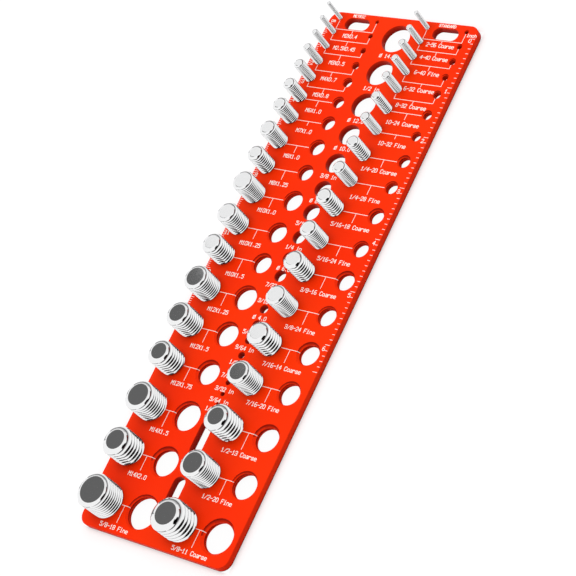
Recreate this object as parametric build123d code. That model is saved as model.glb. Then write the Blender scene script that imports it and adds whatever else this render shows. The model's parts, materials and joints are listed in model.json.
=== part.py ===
from build123d import *
from collections import namedtuple
import os

# Nut and bolt thread checker: a flat plate with a graded set of tapped holes,
# plain sizing holes and threaded studs. Sizes are in millimetres.
# The plate lies on its back. X runs across it towards the inch scale, Y runs
# along it from the largest threads to the smallest, and Z points out of the face.
# The origin is at the middle of the back. Heights below are distances along Y
# from the bottom edge, where the largest threads are.
# A thread's depths, crest and root are shares of its pitch. From ring_pitch up a
# stud's thread is cut as rings, and below it the stud is as wide as its thread.

inch = 25.4

plate_thickness = 3.6
plate_corner_radius = 5.0
plate_edge_chamfer = 0.3
plate_side_margin = 5.75
plate_top_margin = 3.3
plate_bottom_margin = 12.4
tapped_shift = 0.6

stud_height = 12.0
stud_bevel_base = 0.3
stud_bevel_per_pitch = 1.1
stud_bevel_limit = 0.4
stud_shank_chamfer = 0.2
stud_back_recess = 0.2
seat_clearance = 0.02

external_thread_depth = 0.613
internal_thread_depth = 0.541
thread_crest = 0.125
thread_root = 0.167
ring_pitch = 1.05
countersink_relief = 0.1
back_countersink = 0.4

# A thread: the node's name part, its diameter and its pitch.
Thread = namedtuple("Thread", "name diameter pitch")


def metric(name, diameter, pitch):
    return Thread(name, diameter, pitch)


def unified(name, diameter, threads_per_inch):
    return Thread(name, diameter * inch, inch / threads_per_inch)


# A row of the plate, from the bottom up: the step up to it from the row below,
# the distances of its outer and inner columns from the centre line, the metric
# thread on the left and the inch thread on the right. The tapped holes of both
# sides stand tapped_shift nearer to the metric edge than that.
Row = namedtuple("Row", "step outer inner left right")

rows = [
    Row(0.0, 30.7, 10.5, unified("5_8_18", 5 / 8, 18), unified("5_8_11", 5 / 8, 11)),
    Row(23.3, 31.8, 11.7, metric("m14x2_0", 14.0, 2.0), unified("1_2_20", 1 / 2, 20)),
    Row(21.5, 31.6, 11.9, metric("m14x1_5", 14.0, 1.5), unified("1_2_13", 1 / 2, 13)),
    Row(21.0, 32.2, 12.0, metric("m12x1_75", 12.0, 1.75), unified("7_16_20", 7 / 16, 20)),
    Row(18.7, 32.5, 12.1, metric("m12x1_5", 12.0, 1.5), unified("7_16_14", 7 / 16, 14)),
    Row(18.0, 32.7, 11.8, metric("m12x1_25", 12.0, 1.25), unified("3_8_24", 3 / 8, 24)),
    Row(17.2, 33.4, 11.9, metric("m10x1_5", 10.0, 1.5), unified("3_8_16", 3 / 8, 16)),
    Row(15.5, 33.6, 11.8, metric("m10x1_25", 10.0, 1.25), unified("5_16_24", 5 / 16, 24)),
    Row(16.2, 33.5, 11.7, metric("m10x1_0", 10.0, 1.0), unified("5_16_18", 5 / 16, 18)),
    Row(14.4, 34.3, 12.4, metric("m8x1_25", 8.0, 1.25), unified("1_4_28", 1 / 4, 28)),
    Row(13.1, 34.4, 12.9, metric("m8x1_0", 8.0, 1.0), unified("1_4_20", 1 / 4, 20)),
    Row(12.7, 34.5, 13.2, metric("m7x1_0", 7.0, 1.0), unified("10_32", 0.19, 32)),
    Row(11.0, 34.9, 13.3, metric("m6x1_0", 6.0, 1.0), unified("10_24", 0.19, 24)),
    Row(10.5, 34.9, 13.6, metric("m5x0_8", 5.0, 0.8), unified("8_32", 0.164, 32)),
    Row(9.0, 34.9, 13.7, metric("m4x0_7", 4.0, 0.7), unified("6_32", 0.138, 32)),
    Row(8.1, 34.8, 13.6, metric("m3x0_5", 3.0, 0.5), unified("6_40", 0.138, 40)),
    Row(7.9, 34.8, 13.5, metric("m2_5x0_45", 2.5, 0.45), unified("4_40", 0.112, 40)),
    Row(7.7, 34.9, 13.6, metric("m2x0_4", 2.0, 0.4), unified("2_56", 0.086, 56)),
]

# Plain sizing holes on the centre line, from the bottom up: the step up to each
# one from the one below, the first from the bottom edge, and its diameter.
plain_holes = [
    (66.1, inch / 16),
    (4.6, inch * 5 / 64),
    (5.5, inch * 3 / 32),
    (6.4, inch * 7 / 64),
    (6.7, inch / 8),
    (7.3, inch * 9 / 64),
    (7.7, inch * 5 / 32),
    (7.5, 4.0),
    (8.2, inch * 3 / 16),
    (8.2, inch * 7 / 32),
    (8.8, 6.0),
    (10.6, inch / 4),
    (12.6, inch * 5 / 16),
    (11.8, 8.0),
    (13.3, inch * 3 / 8),
    (14.7, 10.0),
    (15.5, 12.0),
    (17.1, inch / 2),
    (18.1, 14.0),
]

centre_slot_length = 16.5
centre_slot_width = 6.0
centre_slot_heights = (23.4, 49.8)

hanging_slot_length = 13.3
hanging_slot_width = 6.0
hanging_slot_column = 24.3
hanging_slot_drop = 5.65

plate_width = 2 * (max(row.outer for row in rows) + plate_side_margin)
rows_height = sum(row.step for row in rows)
plate_length = plate_bottom_margin + rows_height + plate_top_margin


def external_core(thread):
    """Core radius of a stud's thread."""
    return thread.diameter / 2 - external_thread_depth * thread.pitch


def internal_core(thread):
    """Radius of the hole inside a nut thread."""
    return thread.diameter / 2 - internal_thread_depth * thread.pitch


def stud_bevel(thread):
    """Width and height of the 45 degree bevel on a stud's free end."""
    wanted = stud_bevel_base + stud_bevel_per_pitch * thread.pitch
    return min(wanted, stud_bevel_limit * thread.diameter / 2)


def stud_side(thread, low, high):
    """A stud's side from its foot up: a groove for each turn of a coarse thread, or plain."""
    radius = thread.diameter / 2
    core = external_core(thread)
    pitch = thread.pitch
    mouth = (1 - thread_crest) * pitch
    flank = (mouth - thread_root * pitch) / 2
    points = [(radius, low)]
    if pitch >= ring_pitch:
        turns = int((high - low - thread_crest * pitch) / pitch)
        for turn in range(turns):
            groove = high - (turns - turn) * pitch
            points.append((radius, groove))
            points.append((core, groove + flank))
            points.append((core, groove + mouth - flank))
            points.append((radius, groove + mouth))
    points.append((radius, high))
    return points


def stud(thread):
    """A threaded pin on its press-in shank, standing on the plate's face."""
    radius = thread.diameter / 2
    shank = external_core(thread)
    bevel = stud_bevel(thread)
    tip = plate_thickness + stud_height
    profile = Polyline(
        (0, stud_back_recess),
        (shank - stud_shank_chamfer, stud_back_recess),
        (shank, stud_back_recess + stud_shank_chamfer),
        (shank, plate_thickness),
        *stud_side(thread, plate_thickness, tip - bevel),
        (radius - bevel, tip),
        (0, tip),
        close=True,
    )
    return revolve(make_face(Plane.XZ * profile), Axis.Z)


def tapped_hole(thread):
    """Cutter for a tapped hole: its core, a countersink on the face and one on the back."""
    core = internal_core(thread)
    rim = thread.diameter / 2 + countersink_relief
    above = plate_thickness + rim
    below = core + back_countersink
    profile = Polyline(
        (0, -core),
        (below + core, -core),
        (core, back_countersink),
        (core, plate_thickness - (rim - core)),
        (rim + rim, above),
        (0, above),
        close=True,
    )
    return revolve(make_face(Plane.XZ * profile), Axis.Z)


def round_hole(radius):
    return Cylinder(radius, 3 * plate_thickness)


def slot_hole(length, width, turn):
    outline = Rot(0, 0, turn) * SlotOverall(length, width)
    return extrude(outline, amount=plate_thickness * 2, both=True)


def plate_blank():
    """The bare plate with rounded corners and a small chamfer round both faces."""
    outline = RectangleRounded(plate_width, plate_length, plate_corner_radius)
    blank = extrude(outline, amount=plate_thickness)
    flats = blank.faces().filter_by(Axis.Z)
    return chamfer(flats.edges(), plate_edge_chamfer)


def place(across, height):
    """A point of the plate: across from the centre line, and up from the bottom edge."""
    return (across, height - plate_length / 2)


def row_heights():
    """Each row with its height."""
    height = plate_bottom_margin
    for row in rows:
        height += row.step
        yield row, height


def stud_places():
    """Each stud's thread and place: outer column on the left, inner on the right."""
    for row, height in row_heights():
        yield row.left, place(-row.outer, height)
        yield row.right, place(row.inner, height)


def tapped_places():
    """Each tapped hole's thread and place: inner column on the left, outer on the right."""
    for row, height in row_heights():
        yield row.left, place(-row.inner - tapped_shift, height)
        yield row.right, place(row.outer - tapped_shift, height)


def plain_places():
    """Each plain hole's diameter and place on the centre line."""
    height = 0.0
    for step, diameter in plain_holes:
        height += step
        yield diameter, place(0, height)


def slot_places():
    """Each slot's length, width, turn about Z and place."""
    for height in centre_slot_heights:
        yield centre_slot_length, centre_slot_width, 90, place(0, height)
    for side in (-1, 1):
        spot = place(side * hanging_slot_column, plate_length - hanging_slot_drop)
        yield hanging_slot_length, hanging_slot_width, 0, spot


def gauge_plate():
    cutters = []
    for thread, spot in tapped_places():
        cutters.append(Pos(*spot) * tapped_hole(thread))
    for thread, spot in stud_places():
        cutters.append(Pos(*spot) * round_hole(external_core(thread) + seat_clearance))
    for diameter, spot in plain_places():
        cutters.append(Pos(*spot) * round_hole(diameter / 2))
    for length, width, turn, spot in slot_places():
        cutters.append(Pos(*spot) * slot_hole(length, width, turn))
    return plate_blank() - cutters


def save(shape, name):
    export_step(shape, f"parts/{name}.step")


def main():
    os.makedirs("parts", exist_ok=True)
    save(gauge_plate(), "gauge_plate")
    for thread, spot in stud_places():
        save(Pos(*spot) * stud(thread), f"stud_{thread.name}")


if __name__ == "__main__":
    main()
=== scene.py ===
import json
import math
from collections import namedtuple
from fractions import Fraction
from functools import cache

import bmesh
import bpy
import numpy as np
from mathutils import Matrix, Vector
from mathutils.geometry import delaunay_2d_cdt

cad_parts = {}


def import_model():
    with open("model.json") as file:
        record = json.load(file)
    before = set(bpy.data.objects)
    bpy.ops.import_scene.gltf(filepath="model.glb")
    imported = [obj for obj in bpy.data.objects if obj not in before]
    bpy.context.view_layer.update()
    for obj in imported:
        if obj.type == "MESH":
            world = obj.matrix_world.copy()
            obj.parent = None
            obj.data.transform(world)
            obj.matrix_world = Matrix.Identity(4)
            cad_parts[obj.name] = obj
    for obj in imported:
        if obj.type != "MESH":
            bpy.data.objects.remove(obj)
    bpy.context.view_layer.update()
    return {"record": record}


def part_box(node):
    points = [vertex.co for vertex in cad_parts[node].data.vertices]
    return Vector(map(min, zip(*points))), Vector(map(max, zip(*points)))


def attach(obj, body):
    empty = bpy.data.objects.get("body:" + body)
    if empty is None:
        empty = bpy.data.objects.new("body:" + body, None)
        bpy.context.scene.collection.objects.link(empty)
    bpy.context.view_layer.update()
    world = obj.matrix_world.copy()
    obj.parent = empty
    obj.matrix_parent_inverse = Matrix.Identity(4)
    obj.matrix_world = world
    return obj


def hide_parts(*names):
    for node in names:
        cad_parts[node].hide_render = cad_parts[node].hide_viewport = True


# The dressed thread checker: an anodised plate with tapped holes, plain holes and engraved
# sizes, and the polished threaded studs that stand on it. The places and radii of holes and
# studs come from the frame. Lengths here are in millimetres unless they say otherwise.

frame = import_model()

MM = 0.001
INCH = 25.4

# Threads: depths as shares of the pitch, and one turn's profile from the crest's lower lip
# upwards. Each point is its phase, its depth from 0 at the crest to 1 at the root, and how
# much painted shade it gets from 0 to 1, darkest in the root and, on a stud, under the crest's lip.
EXTERNAL_DEPTH = 0.613
EXTERNAL_PROFILE = [
    (0.0, 0.03, 1.0), (0.02, 0.0, 0.8), (0.105, 0.08, 0.0), (0.19, 0.19, 0.0), (0.265, 0.32, 0.0),
    (0.32, 0.455, 0.0), (0.495, 0.95, 0.5), (0.52, 1.0, 1.0), (0.62, 1.0, 1.0), (0.645, 0.95, 1.0),
]
INTERNAL_DEPTH = 0.541
INTERNAL_PROFILE = [
    (0.0, 0.05, 0.35), (0.03, 0.0, 0.15), (0.22, 0.0, 0.15), (0.25, 0.05, 0.35),
    (0.5625, 0.94, 0.9), (0.60, 1.0, 1.0), (0.65, 1.0, 1.0), (0.6875, 0.94, 0.9),
]

# A stud with a smaller pitch than this has a simpler profile.
SMALL_PITCH = 0.9
SMALL_PROFILE = [
    (0.0, 0.03, 1.0), (0.02, 0.0, 0.8), (0.12, 0.09, 0.0), (0.30, 0.42, 0.0), (0.50, 0.97, 0.8),
    (0.62, 1.0, 1.0),
]

# A thread's phase at the top of its wall, on the side towards +X.
TAPPED_START = 0.17
STUD_START = 0.2

# Points of a thread that lie within this share of a pitch from an end of its wall join that end.
END_SHARE = 0.04

# A stud's shank: how much thinner than the thread's core it is, and the chamfer on its end.
SHANK_EASE = 0.02
SHANK_CHAMFER = 0.2

# The bevel round a stud's tip is a shallow arc: its slopes at the flat and at the thread, in
# degrees from the flat. A ring at a share of the flat's radius keeps the smooth shading of the
# bevel out of the flat.
BEVEL_START = 10.0
BEVEL_END = 24.0
FLAT_SHARE = 0.985

# A point of the bevel still counts as thread, and so may get painted shade, where the thread
# lies outside the bevel by less than this share of its depth.
RUNOUT_SHARE = 0.1

# A face on a stud's side gets painted shade where it looks upwards by less than this many
# degrees. The slope leaves out the flat faces, whose normals point to no clear side.
STEEP_ANGLE = 22.0
SIDE_SLOPE = 0.3

# Painted shade in the walls of the plain holes and slots: how dark it is inside and at the
# mouth, and how far down from the face it is lighter. The plate's outer wall has a band of
# painted shade along its lower rim.
WALL_DARK = 0.75
MOUTH_DARK = 0.3
WALL_FADE = 2.2
SIDE_DARK = 0.1
RIM_DARK = 0.9
RIM_BAND = 1.1

# Edges of the plate and of its plain holes and slots, and the gap round the studs' shanks.
CORNER_RADIUS = 5.0
EDGE_ROUND = 0.3
HOLE_BREAK = 0.12
SEAT_CLEARANCE = 0.02

# Smoothness: the sides of round outlines, the steps of arcs, and the angle in degrees over
# which an edge stays sharp.
SIDE_LENGTH = 0.38
FEWEST_SIDES = 40
MOST_SIDES = 128
CORNER_STEPS = 12
EDGE_STEPS = 4
SLOT_STEPS = 20
PEN_STEPS = 6
CREASE = 32.0

# Where a flat region is filled, points that lie nearer than this become one.
PLATE_WELD = 1e-6
MARK_WELD = 1e-5

plate_low, plate_high = (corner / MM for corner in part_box("gauge_plate"))
FACE = plate_high.z
BACK = plate_low.z
mounts = {mount["name"]: mount for mount in frame["record"]["mounts"]}


def mount_place(name):
    """A mount's place across and along the plate."""
    x, y, _ = mounts[name]["pos_m"]
    return np.array((x / MM, y / MM))


def mount_ends(name):
    """The heights of a mount's lower and upper ends."""
    middle = mounts[name]["pos_m"][2] / MM
    half = mounts[name]["dims"]["length_mm"] / 2
    return middle - half, middle + half


def mount_radius(name):
    return mounts[name]["dims"]["r_mm"]


# The inch threads that are marked as fine. The others are marked as coarse.
FINE = ("5_8_18", "1_2_20", "7_16_20", "3_8_24", "5_16_24", "1_4_28", "10_32", "6_40")
Thread = namedtuple("Thread", "name label radius pitch")


def read_thread(name):
    """A thread's size and label from its name, such as m14x2_0 or 5_8_18."""
    if name.startswith("m"):
        diameter, pitch = name[1:].replace("_", ".").split("x")
        label = f"M{diameter}X{pitch}"
        pitch = float(pitch)
    else:
        *size, per_inch = name.split("_")
        pitch = INCH / int(per_inch)
        label = f"{'/'.join(size)}-{per_inch} {'Fine' if name in FINE else 'Coarse'}"
    return Thread(name, label, mount_radius(f"thread_{name}"), pitch)


# Two threads for each row from the bottom up: the left one and the right one.
threads = [read_thread(name[len("thread_"):]) for name in mounts if name.startswith("thread_")]


def external_core(thread):
    """The core radius of a stud's thread."""
    return thread.radius - EXTERNAL_DEPTH * thread.pitch


def around(centre, radius, angle):
    """The point at an angle and a distance from a centre."""
    return centre[0] + radius * math.cos(angle), centre[1] + radius * math.sin(angle)


def sides_for(radius):
    """The number of sides of a circle, a multiple of four."""
    wanted = int(2 * math.pi * radius / SIDE_LENGTH)
    return min(max(wanted, FEWEST_SIDES), MOST_SIDES) // 4 * 4


class Surface:
    """Points, faces and one darkness of painted shade at each point, gathered piece by piece."""

    def __init__(self):
        self.points = []
        self.darks = []
        self.faces = []

    def add(self, point, dark=0.0):
        self.points.append(point)
        self.darks.append(dark)
        return len(self.points) - 1

    def outline(self, points, height, dark=0.0):
        return [self.add((x, y, height), dark) for x, y in points]

    def circle(self, centre, radius, height, sides, dark=0.0):
        points = [around(centre, radius, 2 * math.pi * side / sides) for side in range(sides)]
        return self.outline(points, height, dark)

    def band(self, lower, upper):
        """Joins two loops that have as many points."""
        count = len(lower)
        for i in range(count):
            j = (i + 1) % count
            self.faces.append((lower[i], lower[j], upper[j], upper[i]))

    def stack(self, loops):
        """Joins each loop with the next one. Returns the first and the last loop."""
        for lower, upper in zip(loops, loops[1:]):
            self.band(lower, upper)
        return loops[0], loops[-1]

    def cap(self, loop, height, centre):
        middle = self.add((centre[0], centre[1], height))
        for i, point in enumerate(loop):
            self.faces.append((point, loop[(i + 1) % len(loop)], middle))

    def flat(self, outer, holes):
        """Fills the flat region inside the outer loop and outside the hole loops."""
        loops = [outer] + holes
        index = [point for loop in loops for point in loop]
        flat_points = [Vector(self.points[point][:2]) for point in index]
        rings = []
        start = 0
        for loop in loops:
            rings.append(list(range(start, start + len(loop))))
            start += len(loop)
        _, _, faces, sources, _, rings_over = delaunay_2d_cdt(flat_points, [], rings, 0, PLATE_WELD)
        for face, over in zip(faces, rings_over):
            only_outer = list(over) == [0]
            if only_outer:
                self.faces.append(tuple(index[sources[corner][0]] for corner in face))


Helix = namedtuple("Helix", "pitch profile start")


def threaded_wall(surface, centre, helix, low, high, sides, radius_at):
    """A round wall whose rows follow a right-handed helix between two heights. radius_at gives
    the radius for a height and a thread depth, and whether the thread is there. Returns the
    end loops."""
    phases, depths, darks = np.array(helix.profile).T
    steps = len(helix.profile)
    turns = math.ceil((high - low) / helix.pitch) + 1
    first = high - (turns + helix.start) * helix.pitch
    rows = steps * (turns + 2)
    nearest = END_SHARE * helix.pitch

    def put(turn, height, depth, dark):
        radius, threaded = radius_at(height, depth)
        point = around(centre, radius, 2 * math.pi * turn)
        return surface.add((*point, height), dark if threaded else 0.0)

    def put_end(turn, height):
        phase = ((height - first) / helix.pitch - turn) % 1.0
        depth = float(np.interp(phase, phases, depths, period=1.0))
        dark = float(np.interp(phase, phases, darks, period=1.0))
        return put(turn, height, depth, dark)

    columns, bottom, top = [], [], []
    for side in range(sides):
        turn = side / sides
        bottom.append(put_end(turn, low))
        top.append(put_end(turn, high))
        column = []
        for row in range(rows):
            step = row % steps
            height = first + helix.pitch * (row // steps + phases[step] + turn)
            if height < low + nearest:
                column.append(bottom[-1])
            elif height > high - nearest:
                column.append(top[-1])
            else:
                column.append(put(turn, height, depths[step], darks[step]))
        columns.append(column)
    join_columns(surface, columns, steps)
    return bottom, top


def join_columns(surface, columns, steps):
    """Joins the columns of a threaded wall. The last column meets the first one a turn higher."""
    for side, column in enumerate(columns):
        if side + 1 < len(columns):
            following = columns[side + 1]
        else:
            following = columns[0][steps:]
        for row in range(len(following) - 1):
            loop = (column[row], following[row], following[row + 1], column[row + 1])
            corners = tuple(dict.fromkeys(loop))
            if len(corners) > 2:
                surface.faces.append(corners)


def tapped_wall(surface, thread):
    """A tapped hole with its countersinks. Returns its loops on the back and on the face."""
    name = f"tapped_{thread.name}"
    core = mount_radius(name)
    low, high = mount_ends(name)
    root = INTERNAL_DEPTH * thread.pitch

    def radius_at(height, depth):
        cut = core + root * depth
        sink = core + max(height - high, low - height, 0.0)
        return max(cut, sink), cut > sink

    helix = Helix(thread.pitch, INTERNAL_PROFILE, TAPPED_START)
    return threaded_wall(surface, mount_place(name), helix, BACK, FACE, sides_for(core), radius_at)


def seat_wall(surface, thread):
    """The hole round a stud's shank. Returns its loops on the back and on the face."""
    radius = external_core(thread) + SEAT_CLEARANCE
    centre = mount_place(f"thread_{thread.name}")
    sides = sides_for(radius)
    return surface.stack([surface.circle(centre, radius, height, sides) for height in (BACK, FACE)])


# A level of a wall: its height, how much wider than the outline it is and how dark its painted
# shade is.
Level = namedtuple("Level", "height wider dark")
WALL_LEVELS = [
    Level(BACK, HOLE_BREAK, 0.0),
    Level(BACK + HOLE_BREAK, 0.0, WALL_DARK),
    Level(FACE - WALL_FADE, 0.0, WALL_DARK),
    Level(FACE - HOLE_BREAK, 0.0, MOUTH_DARK),
    Level(FACE, HOLE_BREAK, 0.0),
]


def plain_wall(surface, name):
    """A plain hole with a small break on both edges. Returns its loops on the back and face."""
    centre, radius = mount_place(name), mount_radius(name)
    sides = sides_for(radius)
    loops = []
    for level in WALL_LEVELS:
        loops.append(surface.circle(centre, radius + level.wider, level.height, sides, level.dark))
    return surface.stack(loops)


# An opening's box fits inside its slot: it stops short of the round ends and of the walls.
BOX_END = 1.9
BOX_WALL = 0.35


def slots():
    """Each slot's name, centre and half sizes, from the plate's openings in the record."""
    for opening in frame["record"]["physics"]["openings"]:
        low, high = (np.array(corner[:2]) / MM for corner in opening["box_m"])
        half = (high - low) / 2
        grow = (BOX_WALL, BOX_END) if half[1] > half[0] else (BOX_END, BOX_WALL)
        yield opening["name"], (low + high) / 2, half + grow


def slot_outline(centre, half, wider):
    """A slot's outline with round ends, counter-clockwise."""
    radius = min(half)
    along = half - radius
    first = 0.0 if half[1] > half[0] else -math.pi / 2
    points = []
    for end, start in ((along, first), (-along, first + math.pi)):
        for step in range(SLOT_STEPS + 1):
            angle = start + math.pi * step / SLOT_STEPS
            points.append(around(centre + end, radius + wider, angle))
    return points


def slot_wall(surface, centre, half):
    """A slot with a small break on both edges. Returns its loops on the back and on the face."""
    loops = []
    for level in WALL_LEVELS:
        points = slot_outline(centre, half, level.wider)
        loops.append(surface.outline(points, level.height, level.dark))
    return surface.stack(loops)


def plate_outline(wider):
    """The plate's outline with round corners, counter-clockwise."""
    low, high = np.array(plate_low[:2]), np.array(plate_high[:2])
    half, middle = (high - low) / 2, (high + low) / 2
    points = []
    for quarter, signs in enumerate(((1, 1), (-1, 1), (-1, -1), (1, -1))):
        corner = middle + signs * (half - CORNER_RADIUS)
        for step in range(CORNER_STEPS + 1):
            angle = quarter * math.pi / 2 + math.pi / 2 * step / CORNER_STEPS
            points.append(around(corner, CORNER_RADIUS + wider, angle))
    return points


def side_levels():
    """The levels of the plate's outer wall from the back up: a round edge, the wall, a round edge.
    Painted shade lies on it, darkest along the lower rim.
    """
    for step in range(EDGE_STEPS + 1):
        angle = math.pi / 2 * step / EDGE_STEPS
        inset = EDGE_ROUND * (1 - math.sin(angle))
        dark = RIM_DARK if step else 0.0
        yield Level(BACK + EDGE_ROUND * (1 - math.cos(angle)), -inset, dark)
    yield Level(BACK + RIM_BAND, 0.0, SIDE_DARK)
    for step in range(EDGE_STEPS + 1):
        angle = math.pi / 2 * step / EDGE_STEPS
        inset = EDGE_ROUND * (1 - math.cos(angle))
        dark = SIDE_DARK * (1 - step / EDGE_STEPS)
        yield Level(FACE - EDGE_ROUND * (1 - math.sin(angle)), -inset, dark)


def side_wall(surface):
    """The plate's outer wall with its round edges. Returns its loops on the back and on the face."""
    loops = []
    for level in side_levels():
        loops.append(surface.outline(plate_outline(level.wider), level.height, level.dark))
    return surface.stack(loops)


def plate_surface():
    surface = Surface()
    outer_back, outer_face = side_wall(surface)
    holes = [tapped_wall(surface, thread) for thread in threads]
    holes += [seat_wall(surface, thread) for thread in threads]
    holes += [plain_wall(surface, name) for name in mounts if name.startswith("plain_")]
    holes += [slot_wall(surface, centre, half) for _, centre, half in slots()]
    surface.flat(outer_face, [face for _, face in holes])
    surface.flat(outer_back, [back for back, _ in holes])
    return surface


def stud_bevel(thread, tip):
    """The radius of the flat on a stud's tip, and a function for the bevel's radius at a height."""
    width = tip - mount_ends(f"thread_{thread.name}")[1]
    flat_radius = thread.radius - width
    start, end = math.radians(BEVEL_START), math.radians(BEVEL_END)
    bend = width / (math.sin(end) - math.sin(start))

    def bevel_at(height):
        level = math.cos(start) - (tip - height) / bend
        if level < math.cos(end):
            return thread.radius
        return flat_radius + bend * (math.sqrt(1 - level * level) - math.sin(start))

    return flat_radius, bevel_at


def stud_surface(thread, low, high):
    """A threaded stud about its own axis: shank in the plate, thread above it, bevel and flat."""
    surface = Surface()
    axis = (0.0, 0.0)
    sides = sides_for(thread.radius)
    depth = EXTERNAL_DEPTH * thread.pitch
    shank = external_core(thread) - SHANK_EASE
    flat_radius, bevel_at = stud_bevel(thread, high)

    def radius_at(height, share):
        cut = thread.radius - depth * share
        bevel = bevel_at(height)
        return min(cut, bevel), cut < bevel + RUNOUT_SHARE * depth

    foot = surface.circle(axis, shank - SHANK_CHAMFER, low, sides)
    heel = surface.circle(axis, shank, low + SHANK_CHAMFER, sides)
    seat = surface.circle(axis, shank, FACE, sides)
    surface.stack([foot, heel, seat])
    surface.cap(foot, low, axis)
    profile = SMALL_PROFILE if thread.pitch < SMALL_PITCH else EXTERNAL_PROFILE
    helix = Helix(thread.pitch, profile, STUD_START)
    bottom, top = threaded_wall(surface, axis, helix, FACE, high, sides, radius_at)
    ring = surface.circle(axis, FLAT_SHARE * flat_radius, high, sides)
    surface.band(seat, bottom)
    surface.band(top, ring)
    surface.cap(ring, high, axis)
    darken_steep(surface)
    return surface


def darken_steep(surface):
    """Paints shade on the faces of a stud's side that look down, level or a little upwards."""
    points, darks = np.array(surface.points), np.array(surface.darks)
    for count in (3, 4):
        faces = np.array([face for face in surface.faces if len(face) == count])
        corners = points[faces]
        middle = corners.mean(axis=1)
        if count == 3:
            normal = np.cross(corners[:, 1] - corners[:, 0], corners[:, 2] - corners[:, 0])
        else:
            normal = np.cross(corners[:, 2] - corners[:, 0], corners[:, 3] - corners[:, 1])
        outward = np.sign((normal[:, :2] * middle[:, :2]).sum(axis=1))
        sideways = np.linalg.norm(normal[:, :2], axis=1)
        steep = normal[:, 2] * outward < math.tan(math.radians(STEEP_ANGLE)) * sideways
        on_side = sideways > SIDE_SLOPE * np.abs(normal[:, 2])
        darks[faces[steep & on_side]] = 1.0
    surface.darks = darks.tolist()


def face_outwards(mesh):
    work = bmesh.new()
    work.from_mesh(mesh)
    bmesh.ops.recalc_face_normals(work, faces=work.faces)
    work.to_mesh(mesh)
    work.free()


def build(name, surface, material, place=(0.0, 0.0, 0.0)):
    """Makes a closed, smooth piece of a surface, which rides on the part's body."""
    mesh = bpy.data.meshes.new(name)
    mesh.from_pydata((np.array(surface.points) * MM).tolist(), [], surface.faces)
    # The painted shade of each point, which the materials mix in as a darker colour.
    attribute = mesh.attributes.new("groove", "FLOAT", "POINT")
    attribute.data.foreach_set("value", np.array(surface.darks, np.float32))
    face_outwards(mesh)
    mesh.shade_smooth()
    mesh.set_sharp_from_angle(angle=math.radians(CREASE))
    mesh.materials.append(material)
    piece = bpy.data.objects.new(name, mesh)
    piece.location = Vector(place) * MM
    bpy.context.scene.collection.objects.link(piece)
    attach(piece, "root")
    return piece


# Marks on the face: thin slabs that stand out of it, and sink into it, by a hair.
MARK_RAISE = 0.015
MARK_SINK = 0.02
LINE_WIDTH = 0.25
TICK_WIDTH = 0.22

# Letters: the pen's width, their size, and the step from one letter to the next.
LETTER_STROKE = 0.3
LETTER_HEIGHT = 1.8
LETTER_WIDTH = 1.08
LETTER_ADVANCE = 1.47
NARROW_ADVANCE = 1.34

# Letters as pen strokes on a grid. Each point is a column and a row. @ is the diameter sign.
GRID_WIDE = 4
GRID_HIGH = 6
LETTERS = {
    "0": ["10 30 41 45 36 16 05 01 10"],
    "1": ["14 26 20", "10 30"],
    "2": ["05 16 36 45 44 00 40"],
    "3": ["05 16 36 45 44 33 13", "33 42 41 30 10 01"],
    "4": ["30 36 02 42"],
    "5": ["46 06 04 34 43 41 30 10 01"],
    "6": ["36 16 04 01 10 30 41 42 33 03"],
    "7": ["06 46 10"],
    "8": ["13 04 05 16 36 45 44 33 13 02 01 10 30 41 42 33"],
    "9": ["10 30 42 45 36 16 05 04 13 43"],
    ".": ["20 21"],
    "/": ["00 46"],
    "-": ["03 43"],
    "@": ["10 30 41 44 35 15 04 01 10", "00 46"],
    "A": ["00 26 40", "12 32"],
    "C": ["45 36 16 05 01 10 30 41"],
    "D": ["00 06 26 45 41 20 00"],
    "E": ["46 06 00 40", "03 33"],
    "F": ["00 06 46", "03 33"],
    "I": ["16 36", "26 20", "10 30"],
    "M": ["00 06 23 46 40"],
    "N": ["00 06 40 46"],
    "R": ["00 06 36 45 44 33 03", "23 40"],
    "S": ["45 36 16 05 04 13 33 42 41 30 10 01"],
    "T": ["06 46", "26 20"],
    "X": ["00 46", "06 40"],
    "a": ["14 34 43 40", "42 12 01 10 40"],
    "c": ["43 34 14 03 01 10 30 41"],
    "e": ["02 42 43 34 14 03 01 10 40"],
    "h": ["06 00", "03 14 34 43 40"],
    "i": ["14 24 20", "10 30", "25 26"],
    "m": ["00 04", "03 14 23 20", "23 34 43 40"],
    "n": ["00 04", "03 14 34 43 40"],
    "o": ["10 30 41 43 34 14 03 01 10"],
    "r": ["00 04", "02 14 34 43"],
    "s": ["43 34 14 03 12 32 41 30 10 01"],
}


def inked(lines, width):
    """The area that a round pen covers along the lines: its points, and the faces between them."""
    points, rings = [], []
    for line in lines:
        for start, end in zip(line, line[1:]):
            heading = math.atan2(end[1] - start[1], end[0] - start[0])
            ring = []
            for spot, turn in ((end, heading - math.pi / 2), (start, heading + math.pi / 2)):
                for step in range(PEN_STEPS + 1):
                    angle = turn + math.pi * step / PEN_STEPS
                    ring.append(len(points))
                    points.append(Vector(around(spot, width / 2, angle)))
            rings.append(ring)
    spots, _, faces, _, _, rings_over = delaunay_2d_cdt(points, [], rings, 0, MARK_WELD)
    kept = [tuple(face) for face, over in zip(faces, rings_over) if over]
    return [tuple(spot) for spot in spots], kept


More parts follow.
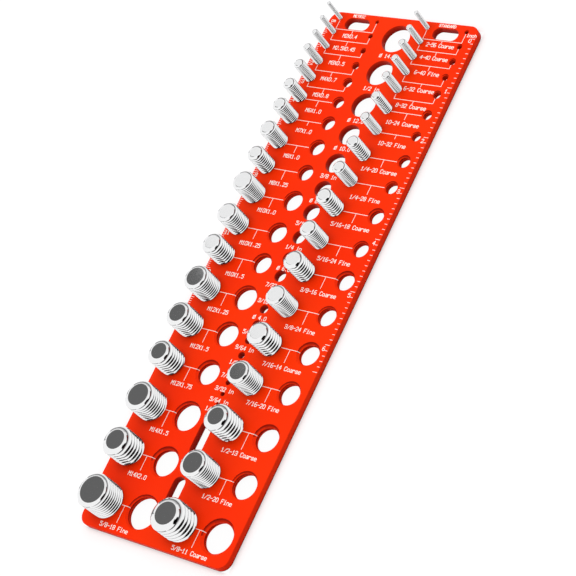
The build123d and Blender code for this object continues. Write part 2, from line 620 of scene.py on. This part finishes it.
def stamp(surface, area, move=(0.0, 0.0)):
    """Adds a thin closed slab of an area to the surface, through the plate's face."""
    spots, faces = area
    edges = dict.fromkeys(edge for face in faces for edge in zip(face, face[1:] + face[:1]))
    rims = [(a, b) for a, b in edges if (b, a) not in edges]
    used = sorted({corner for face in faces for corner in face})
    levels = []
    for height in (FACE + MARK_RAISE, FACE - MARK_SINK):
        level = {}
        for corner in used:
            x, y = spots[corner]
            level[corner] = surface.add((x + move[0], y + move[1], height))
        levels.append(level)
    over, under = levels
    for face in faces:
        surface.faces.append(tuple(over[corner] for corner in face))
        surface.faces.append(tuple(under[corner] for corner in reversed(face)))
    for a, b in rims:
        surface.faces.append((over[b], over[a], under[a], under[b]))


@cache
def letter_area(letter, size):
    """A letter's area. The size scales its height and width, but not its stroke."""
    column, row = size * LETTER_WIDTH / GRID_WIDE, size * LETTER_HEIGHT / GRID_HIGH
    lines = []
    for stroke in LETTERS[letter]:
        lines.append([(int(point[0]) * column, int(point[1]) * row) for point in stroke.split()])
    return inked(lines, LETTER_STROKE)


def write(surface, text, centre, middle, advance=LETTER_ADVANCE, size=1.0):
    """Writes a text centred on a point. The size scales the letters."""
    width, height = size * LETTER_WIDTH, size * LETTER_HEIGHT
    left = centre - (advance * (len(text) - 1) + width) / 2
    for place, letter in enumerate(text):
        if letter != " ":
            stamp(surface, letter_area(letter, size), (left + place * advance, middle - height / 2))


# Marks of each row from the bottom up: how far its line is below the row, how long the
# line's tick is, and how far the middle of the size is below the tick's end. The last rows
# have a bracket in place of the line, and the very last ones have narrower letters.
RowMarks = namedtuple("RowMarks", "drop tick gap")
ROW_MARKS = [
    RowMarks(-0.4, 7.9, 2.3), RowMarks(-0.2, 6.8, 2.4), RowMarks(-0.3, 7.6, 2.2),
    RowMarks(-0.2, 6.4, 2.0), RowMarks(0.1, 6.1, 2.5), RowMarks(-0.1, 6.0, 2.6),
    RowMarks(0.0, 5.7, 2.2), RowMarks(0.4, 4.8, 2.6), RowMarks(0.5, 4.6, 2.0),
    RowMarks(0.6, 4.6, 2.3), RowMarks(0.7, 3.7, 2.0), RowMarks(0.7, 2.0, 3.0),
    RowMarks(0.7, 3.1, 2.2), RowMarks(4.7, 2.4, 1.1), RowMarks(4.8, 2.2, 1.6),
    RowMarks(3.7, 2.8, 1.5), RowMarks(4.2, 2.4, 1.4), RowMarks(5.9, 1.6, 1.5),
]
BRACKET_ROWS = 5
NARROW_ROWS = 2

# A line starts LINE_GAP off its stud, and goes on from the rim of the hole's countersink to
# BORE_GAP from the bore. The rim is RIM_RELIEF wider than the thread.
LINE_GAP = 0.05
BORE_GAP = 0.1
RIM_RELIEF = 0.1

# A bracket starts BRACKET_GAP off its stud. Its ends stand BRACKET_SIDE to the right of the
# middles of stud and hole, and on the right of the plate its tick is shorter by RIGHT_LIFT.
BRACKET_GAP = 0.3
BRACKET_SIDE = 0.3
RIGHT_LIFT = 0.6

# How far right of the middle between stud and hole the ticks are, on the plate's right and
# left, and how far right of its tick a size on the left is.
RIGHT_SHIFT = 0.5
LEFT_SHIFT = -0.1
LEFT_LABEL_SHIFT = -0.2


def sloped_mark(surface, hole, level, rim, core):
    """The end of a line, where it runs down a hole's countersink towards the bore."""
    drop = rim - core - BORE_GAP
    corners = []
    for lift in (MARK_RAISE, -MARK_SINK):
        for across, height in ((hole[0] - rim, FACE + lift), (hole[0] - rim + drop, FACE - drop + lift)):
            for along in (-LINE_WIDTH / 2, LINE_WIDTH / 2):
                corners.append(surface.add((across, level + along, height)))
    a, b, c, d, e, f, g, h = corners
    surface.faces += [(a, c, d, b), (e, f, h, g), (a, e, g, c), (b, d, h, f), (a, b, f, e), (c, g, h, d)]


def row_marks(surface):
    """The line or bracket that joins each stud with its tapped hole, and the size under it."""
    rows = len(threads) // 2
    for place, thread in enumerate(threads):
        row, on_right = divmod(place, 2)
        marks = ROW_MARKS[row]
        bracket = row >= rows - BRACKET_ROWS
        stud, hole = mount_place(f"thread_{thread.name}"), mount_place(f"tapped_{thread.name}")
        rim = thread.radius + RIM_RELIEF
        middle = (stud[0] + hole[0]) / 2 + (RIGHT_SHIFT if on_right else LEFT_SHIFT)
        level = stud[1] - marks.drop
        end = level - marks.tick + (RIGHT_LIFT if bracket and on_right else 0.0)
        if bracket:
            left, right = stud[0] + BRACKET_SIDE, hole[0] + BRACKET_SIDE
            stud_end = (left, stud[1] - thread.radius - BRACKET_GAP)
            line = [stud_end, (left, level), (right, level), (right, hole[1] - rim)]
        else:
            line = [(stud[0] + thread.radius + LINE_GAP, level), (hole[0] - rim, level)]
            sloped_mark(surface, hole, level, rim, mount_radius(f"tapped_{thread.name}"))
        stamp(surface, inked([line, [(middle, level), (middle, end)]], LINE_WIDTH))
        advance = NARROW_ADVANCE if row >= rows - NARROW_ROWS else LETTER_ADVANCE
        label_shift = 0.0 if on_right else LEFT_LABEL_SHIFT
        write(surface, thread.label, middle + label_shift, end - marks.gap, advance)


PLAIN_LABEL_DROP = 2.3


def plain_label(name):
    """A plain hole's label from its name, such as plain_12_mm or plain_10_64_in."""
    *size, unit = name[len("plain_"):].split("_")
    if unit == "mm":
        return f"@ {size[0]}.0"
    return f"{Fraction('/'.join(size))} in"


def plain_marks(surface):
    """The size under each plain hole."""
    for name in mounts:
        if name.startswith("plain_"):
            x, y = mount_place(name)
            write(surface, plain_label(name), x, y - mount_radius(name) - PLAIN_LABEL_DROP)


# The scales start at the same height and run down. Ticks start SCALE_MARGIN in from the
# plate's edge. The numbers' middles are DIGIT_COLUMN in from it and lower than their ticks.
SCALE_TOP = 124.25
SCALE_MARGIN = EDGE_ROUND + 0.1
INCH_TENTHS = 65
CENTIMETRES = 15
LONG_TICK = 2.2
HALF_TICK = 1.7
TENTH_TICK = 1.2
MILLIMETRE_TICK = 1.1
DIGIT_COLUMN = 2.45
DIGIT_DROP = 1.85
FIRST_DIGIT_DROP = 1.0


def tick_mark(surface, edge, side, height, length):
    """A tick from an edge of the face inwards. side is 1 on the right and -1 on the left."""
    outer = edge - side * SCALE_MARGIN
    stamp(surface, inked([[(outer, height), (outer - side * length, height)]], TICK_WIDTH))


def inch_scale(surface):
    """The scale down the right edge, in tenths of an inch."""
    for tenth in range(INCH_TENTHS + 1):
        whole = tenth % 10 == 0 or tenth == INCH_TENTHS
        height = SCALE_TOP - INCH / 10 * tenth
        tick_mark(surface, plate_high.x, 1, height, LONG_TICK if whole else TENTH_TICK)
    for inch in range(INCH_TENTHS // 10 + 1):
        drop = DIGIT_DROP if inch else FIRST_DIGIT_DROP
        write(surface, str(inch), plate_high.x - DIGIT_COLUMN, SCALE_TOP - INCH * inch - drop)


def centimetre_scale(surface):
    """The scale down the left edge, in millimetres with a number at each centimetre."""
    for step in range(CENTIMETRES * 10 + 1):
        if step % 10 == 0:
            length = LONG_TICK
        elif step % 5 == 0:
            length = HALF_TICK
        else:
            length = MILLIMETRE_TICK
        tick_mark(surface, plate_low.x, -1, SCALE_TOP - step, length)
    for number in range(CENTIMETRES + 1):
        height = SCALE_TOP - 10 * number - DIGIT_DROP
        write(surface, str(number), plate_low.x + DIGIT_COLUMN, height, NARROW_ADVANCE)


# The plain words over the hanging slots and the units over the scales: the height of their
# middles, how far left of its slot a word is and how far in from the edge a unit is, and the
# steps and sizes of their letters.
WORDS = {"hanging_slot_left": "METRIC", "hanging_slot_right": "STANDARD"}
WORD_LINE = 129.35
WORD_SHIFT = 0.7
WORD_ADVANCE = 1.13
WORD_SIZE = 0.72
UNIT_LINE = 125.8
UNIT_COLUMN = 2.7
UNIT_ADVANCE = 1.28
UNIT_SIZE = 0.85


def word_marks(surface):
    for name, centre, _ in slots():
        if name in WORDS:
            write(surface, WORDS[name], centre[0] - WORD_SHIFT, WORD_LINE, WORD_ADVANCE, WORD_SIZE)
    write(surface, "inch", plate_high.x - UNIT_COLUMN, UNIT_LINE, UNIT_ADVANCE, UNIT_SIZE)
    write(surface, "cm", plate_low.x + UNIT_COLUMN, UNIT_LINE, UNIT_ADVANCE, UNIT_SIZE)


class Nodes:
    """A node tree with short calls that add nodes and link them."""

    def __init__(self, tree):
        self.tree = tree
        tree.nodes.clear()

    def add(self, kind, properties=None, **inputs):
        """Adds a node. An input such as i0 goes by its number, and any other by its name, with
        underscores for the spaces."""
        node = self.tree.nodes.new(kind)
        for name, value in (properties or {}).items():
            setattr(node, name, value)
        for name, value in inputs.items():
            key = int(name[1:]) if name[0] == "i" and name[1:].isdigit() else name.replace("_", " ")
            self.feed(node.inputs[key], value)
        return node

    def feed(self, socket, value):
        """Links a node or one of its outputs to a socket, or sets a constant on it."""
        if isinstance(value, bpy.types.Node):
            value = value.outputs[0]
        if isinstance(value, bpy.types.NodeSocket):
            self.tree.links.new(value, socket)
        else:
            socket.default_value = value

    def math(self, operation, *values):
        node = self.add("ShaderNodeMath", {"operation": operation})
        for place, value in enumerate(values):
            self.feed(node.inputs[place], value)
        return node

    def ramp(self, value, low, high, start=0.0, end=1.0, smooth=True):
        kind = "SMOOTHSTEP" if smooth else "LINEAR"
        return self.add("ShaderNodeMapRange", {"interpolation_type": kind}, Value=value, From_Min=low,
                        From_Max=high, To_Min=start, To_Max=end)

    def mix(self, factor, first, second):
        node = self.tree.nodes.new("ShaderNodeMix")
        node.data_type = "RGBA"
        colours = [socket for socket in node.inputs if socket.type == "RGBA"]
        self.feed(node.inputs[0], factor)
        self.feed(colours[0], first)
        self.feed(colours[1], second)
        return [socket for socket in node.outputs if socket.type == "RGBA"][0]

    def noise(self, vector, scale, detail=3.0, roughness=0.5):
        return self.add("ShaderNodeTexNoise", Vector=vector, Scale=scale, Detail=detail,
                        Roughness=roughness)


def new_material(name):
    """Makes a material. Returns it, its nodes and their output for the place on the object."""
    material = bpy.data.materials.new(name)
    material.use_nodes = True
    nodes = Nodes(material.node_tree)
    return material, nodes, nodes.add("ShaderNodeTexCoord").outputs["Object"]


def finish_material(nodes, **inputs):
    shader = nodes.add("ShaderNodeBsdfPrincipled", **inputs)
    nodes.add("ShaderNodeOutputMaterial", Surface=shader)


def grooves(nodes):
    """The painted shade that a piece's surface gives at each point."""
    return nodes.add("ShaderNodeAttribute", {"attribute_name": "groove"}).outputs["Fac"]


def colour(red, green, blue):
    return (red, green, blue, 1.0)


def grey(level):
    return colour(level, level, level)


# Colours are in linear red, green and blue. Each finish has the height of its fine relief,
# and the turned steel has the steps of its rings and lines.
WHITE = grey(1.0)

DYE = colour(0.93, 0.027, 0.001)
DYE_LIGHT = colour(0.95, 0.034, 0.001)
DYE_SPECKLE = colour(0.84, 0.022, 0.002)
# The darkest red is painted shade in the plate's hole walls, tapped threads and lower rim.
PLATE_PAINTED_SHADE = colour(0.22, 0.006, 0.002)
GRAIN_HEIGHT = 0.03

STEEL = colour(0.925, 0.93, 0.935)
STEEL_LIGHT = colour(0.945, 0.945, 0.95)
# The dark steel is painted shade in the studs' thread roots, under the crests and on faces that look
# down.
STEEL_PAINTED_SHADE = colour(0.10, 0.10, 0.105)
TURNING_STEP = 0.12
TOOL_LINE_STEP = 0.09
TOOL_MARK_HEIGHT = 0.002

MARK = colour(1.0, 0.93, 0.87)
MARK_DULL = colour(0.95, 0.82, 0.74)
MOTTLE_HEIGHT = 0.01


def plate_material():
    """Orange-red anodised aluminium: satin, with a fine blasted grain and a faint drift of its dye, and
    painted shade in its hole walls, tapped threads and along its lower rim.
    """
    material, nodes, place = new_material("anodised_plate")
    drift = nodes.noise(place, scale=14.0, detail=2.0)
    grain = nodes.noise(place, scale=5200.0, detail=2.0, roughness=0.6)
    speckle = nodes.noise(place, scale=1500.0, detail=3.0, roughness=0.7)
    red = nodes.mix(nodes.ramp(drift, 0.35, 0.65), DYE, DYE_LIGHT)
    worn = nodes.mix(nodes.ramp(speckle, 0.62, 0.8, end=0.35), red, DYE_SPECKLE)
    shaded_colour = nodes.mix(grooves(nodes), worn, PLATE_PAINTED_SHADE)
    rough = nodes.ramp(grain, 0.3, 0.7, start=0.42, end=0.52)
    bump = nodes.add("ShaderNodeBump", Height=grain, Strength=0.12, Distance=GRAIN_HEIGHT * MM)
    finish_material(nodes, Base_Color=shaded_colour, Roughness=rough, Specular_IOR_Level=0.05, Normal=bump)
    return material


def waves(nodes, along, step):
    """A wave along a distance in metres, from crest to crest in a step in millimetres."""
    return nodes.math("SINE", nodes.math("MULTIPLY", along, 2 * math.pi / (step * MM)))


def stud_material():
    """Polished steel with turning rings on the tip, fine tool lines in the thread, and painted shade in
    the roots, under the crests and on faces that look down.
    """
    material, nodes, place = new_material("polished_stud")
    parts = nodes.add("ShaderNodeSeparateXYZ", Vector=place).outputs
    x_squared, y_squared = (nodes.math("POWER", parts[axis], 2.0) for axis in (0, 1))
    from_axis = nodes.math("SQRT", nodes.math("ADD", x_squared, y_squared))
    rings = nodes.math("MULTIPLY", waves(nodes, from_axis, TURNING_STEP), 0.5)
    lines = nodes.math("MULTIPLY", waves(nodes, parts[2], TOOL_LINE_STEP), 0.5)
    haze = nodes.noise(place, scale=900.0, detail=3.0, roughness=0.6)
    groove = grooves(nodes)
    bright = nodes.mix(nodes.ramp(haze, 0.3, 0.7), STEEL, STEEL_LIGHT)
    shaded_colour = nodes.mix(nodes.ramp(groove, 0.0, 1.0), bright, STEEL_PAINTED_SHADE)
    polish = nodes.ramp(haze, 0.3, 0.7, start=0.03, end=0.045)
    rough = nodes.math("ADD", polish, nodes.ramp(groove, 0.3, 1.0, end=0.2))
    height = nodes.math("ADD", rings, lines)
    bump = nodes.add("ShaderNodeBump", Height=height, Strength=0.03, Distance=TOOL_MARK_HEIGHT * MM)
    finish_material(nodes, Base_Color=shaded_colour, Roughness=rough, Metallic=1.0, Normal=bump)
    return material


def mark_material():
    """The pale, dry marks that a laser leaves in the anodised face."""
    material, nodes, place = new_material("etched_mark")
    mottle = nodes.noise(place, scale=3500.0, detail=3.0, roughness=0.7)
    pale = nodes.mix(nodes.ramp(mottle, 0.35, 0.7), MARK, MARK_DULL)
    rough = nodes.ramp(mottle, 0.3, 0.7, start=0.6, end=0.8)
    bump = nodes.add("ShaderNodeBump", Height=mottle, Strength=0.15, Distance=MOTTLE_HEIGHT * MM)
    finish_material(nodes, Base_Color=pale, Roughness=rough, Specular_IOR_Level=0.2, Normal=bump)
    return material


# The floor lies a hair under the part. As the camera and the metal see it, it has a share of
# plain white: WHITE_UNDER under the part, painted light that lifts the part's shadow where the
# floor shows through the holes, and WHITE_AROUND round it, where the part's shadow falls, with a
# short fade between them inside the plate's edge. Other light meets a greyer floor.
FLOOR_HALF = 3000.0
FLOOR_DROP = 0.05
PAPER = grey(0.975)
PAPER_LIGHT = grey(0.985)
WHITE_UNDER = 0.93
WHITE_AROUND = 0.35
UNDER_FADE = 0.2
GREY_FLOOR = grey(0.5)


def seen_directly(nodes):
    """1 where the camera looks, also by way of metal or glass."""
    path = nodes.add("ShaderNodeLightPath").outputs
    seen = nodes.math("MAXIMUM", path["Is Camera Ray"], path["Is Glossy Ray"])
    return nodes.math("MAXIMUM", seen, path["Is Transmission Ray"])


def floor_material():
    material, nodes, place = new_material("pale_floor")
    paper = nodes.noise(place, scale=60.0, detail=2.0)
    pale = nodes.mix(nodes.ramp(paper, 0.3, 0.7), PAPER, PAPER_LIGHT)
    parts = nodes.add("ShaderNodeSeparateXYZ", Vector=place).outputs
    inside = []
    for axis in (0, 1):
        across = nodes.math("ABSOLUTE", parts[axis])
        reach = plate_high[axis]
        inside.append(nodes.ramp(across, (reach - UNDER_FADE) * MM, reach * MM, start=1.0, end=0.0))
    under = nodes.math("MULTIPLY", *inside)
    share = nodes.ramp(under, 0.0, 1.0, start=WHITE_AROUND, end=WHITE_UNDER, smooth=False)
    lit = nodes.add("ShaderNodeBsdfDiffuse", Color=pale)
    plain = nodes.add("ShaderNodeEmission", Color=WHITE, Strength=1.0)
    seen_floor = nodes.add("ShaderNodeMixShader", i0=share, i1=lit, i2=plain)
    dim_floor = nodes.add("ShaderNodeBsdfDiffuse", Color=GREY_FLOOR)
    surface = nodes.add("ShaderNodeMixShader", i0=seen_directly(nodes), i1=dim_floor, i2=seen_floor)
    nodes.add("ShaderNodeOutputMaterial", Surface=surface)
    return material


def floor():
    mesh = bpy.data.meshes.new("floor")
    corners = [(-1, -1), (1, -1), (1, 1), (-1, 1)]
    points = [(x * FLOOR_HALF * MM, y * FLOOR_HALF * MM, -FLOOR_DROP * MM) for x, y in corners]
    mesh.from_pydata(points, [], [(0, 1, 2, 3)])
    mesh.materials.append(floor_material())
    piece = bpy.data.objects.new("floor", mesh)
    bpy.context.scene.collection.objects.link(piece)


# The studio round the part: a white dome with grey and black cards that the polished tips
# and threads mirror. Each round card is its azimuth, elevation, radius and soft edge in
# degrees, and its brightness.
DOME = 0.95
Card = namedtuple("Card", "azimuth elevation radius edge brightness")
CARDS = [
    Card(140.0, 48.0, 20.0, 6.0, 0.87),
    Card(-21.0, 0.0, 36.0, 5.0, 0.02),
    Card(154.5, 85.0, 8.5, 2.0, 0.0),
]

# The black card that the flats of the largest studs mirror has straight sides, and its near
# side leans: its azimuth grows with the elevation. All but the brightness and the lean, which
# is a share, are in degrees.
TIP_CARD_SIDE = 155.95
TIP_CARD_LEAN = 0.555
TIP_CARD_MIDDLE = 45.3
TIP_CARD_FAR = 170.0
TIP_CARD_LOW = 41.0
TIP_CARD_HIGH = 54.0
TIP_CARD_EDGE = 0.5
TIP_CARD_BRIGHTNESS = 0.125


def sky_direction(azimuth, elevation):
    azimuth, elevation = math.radians(azimuth), math.radians(elevation)
    level = math.cos(elevation)
    return (level * math.cos(azimuth), level * math.sin(azimuth), math.sin(elevation))


def in_round_card(nodes, direction, card):
    """1 inside a round card and 0 outside it."""
    aim = sky_direction(card.azimuth, card.elevation)
    nearness = nodes.add("ShaderNodeVectorMath", {"operation": "DOT_PRODUCT"}, i0=direction, i1=aim)
    outer = math.cos(math.radians(card.radius + card.edge / 2))
    inner = math.cos(math.radians(card.radius - card.edge / 2))
    return nodes.ramp(nearness.outputs["Value"], outer, inner)


def in_tip_card(nodes, direction):
    """1 inside the black card of the tips and 0 outside it."""
    radian = math.degrees(1.0)
    parts = nodes.add("ShaderNodeSeparateXYZ", Vector=direction).outputs
    azimuth = nodes.math("MULTIPLY", nodes.math("ARCTAN2", parts[1], parts[0]), radian)
    elevation = nodes.math("MULTIPLY", nodes.math("ARCSINE", parts[2]), radian)
    lean = nodes.math("MULTIPLY", nodes.math("SUBTRACT", elevation, TIP_CARD_MIDDLE), TIP_CARD_LEAN)
    upright = nodes.math("SUBTRACT", azimuth, lean)
    near = nodes.ramp(upright, TIP_CARD_SIDE, TIP_CARD_SIDE + TIP_CARD_EDGE)
    far = nodes.ramp(azimuth, TIP_CARD_FAR, TIP_CARD_FAR + TIP_CARD_EDGE, start=1.0, end=0.0)
    low = nodes.ramp(elevation, TIP_CARD_LOW, TIP_CARD_LOW + TIP_CARD_EDGE)
    high = nodes.ramp(elevation, TIP_CARD_HIGH, TIP_CARD_HIGH + TIP_CARD_EDGE, start=1.0, end=0.0)
    return nodes.math("MULTIPLY", nodes.math("MULTIPLY", near, far), nodes.math("MULTIPLY", low, high))


def with_card(nodes, light, inside, brightness):
    """Takes the light down to a card's brightness inside the card."""
    drop = nodes.math("MULTIPLY", nodes.math("SUBTRACT", light, brightness), inside)
    return nodes.math("SUBTRACT", light, drop)


def world():
    studio = bpy.data.worlds.new("studio")
    studio.use_nodes = True
    bpy.context.scene.world = studio
    nodes = Nodes(studio.node_tree)
    direction = nodes.add("ShaderNodeTexCoord").outputs["Generated"]
    light = DOME
    for card in CARDS:
        light = with_card(nodes, light, in_round_card(nodes, direction, card), card.brightness)
    light = with_card(nodes, light, in_tip_card(nodes, direction), TIP_CARD_BRIGHTNESS)
    seen = nodes.add("ShaderNodeLightPath").outputs["Is Camera Ray"]
    shown = nodes.mix(seen, light, WHITE)
    background = nodes.add("ShaderNodeBackground", Color=shown, Strength=1.0)
    nodes.add("ShaderNodeOutputWorld", Surface=background)


# The lamp's place, its side and its power in watts. It aims at the origin.
LAMP_PLACE = (-100.0, 30.0, 700.0)
LAMP_SIDE = 350.0
LAMP_POWER = 1.5


def lamp():
    """A square soft lamp that the metal doesn't mirror."""
    data = bpy.data.lights.new("key_lamp", "AREA")
    data.size = LAMP_SIDE * MM
    data.energy = LAMP_POWER
    piece = bpy.data.objects.new("key_lamp", data)
    piece.location = Vector(LAMP_PLACE) * MM
    piece.rotation_euler = (-piece.location).to_track_quat("-Z", "Y").to_euler()
    piece.visible_glossy = False
    bpy.context.scene.collection.objects.link(piece)


# The camera's place and aim, its roll in degrees, its lens and the width of its sensor, and
# the nearest and farthest distances in metres that it sees.
CAMERA_PLACE = (527.58, -255.17, 632.80)
CAMERA_AIM = (6.87, -7.25, 3.60)
CAMERA_ROLL = -44.76
CAMERA_LENS = 125.93
CAMERA_SENSOR = 36.0
CAMERA_NEAREST = 0.05
CAMERA_FARTHEST = 20.0


def camera():
    data = bpy.data.cameras.new("camera")
    data.lens = CAMERA_LENS
    data.sensor_width = CAMERA_SENSOR
    data.clip_start = CAMERA_NEAREST
    data.clip_end = CAMERA_FARTHEST
    piece = bpy.data.objects.new("camera", data)
    place, aim = Vector(CAMERA_PLACE) * MM, Vector(CAMERA_AIM) * MM
    turn = (aim - place).to_track_quat("-Z", "Y").to_matrix()
    roll = Matrix.Rotation(math.radians(CAMERA_ROLL), 3, "Z")
    piece.matrix_world = Matrix.Translation(place) @ (turn @ roll).to_4x4()
    bpy.context.scene.collection.objects.link(piece)
    bpy.context.scene.camera = piece


def plate():
    piece = build("anodised_plate", plate_surface(), plate_material())
    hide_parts("gauge_plate")


def studs():
    steel = stud_material()
    for thread in threads:
        node = f"stud_{thread.name}"
        low, high = (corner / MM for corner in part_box(node))
        x, y = mount_place(f"thread_{thread.name}")
        surface = stud_surface(thread, low.z, high.z)
        piece = build(f"threaded_{node}", surface, steel, (x, y, 0.0))
        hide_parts(node)


def marks():
    etched = mark_material()
    sizes, scales = Surface(), Surface()
    row_marks(sizes)
    plain_marks(sizes)
    inch_scale(scales)
    centimetre_scale(scales)
    word_marks(scales)
    build("etched_sizes", sizes, etched)
    build("etched_scales", scales, etched)


def main():
    bpy.context.scene.view_settings.view_transform = "Standard"
    plate()
    studs()
    marks()
    floor()
    world()
    lamp()
    camera()


main()
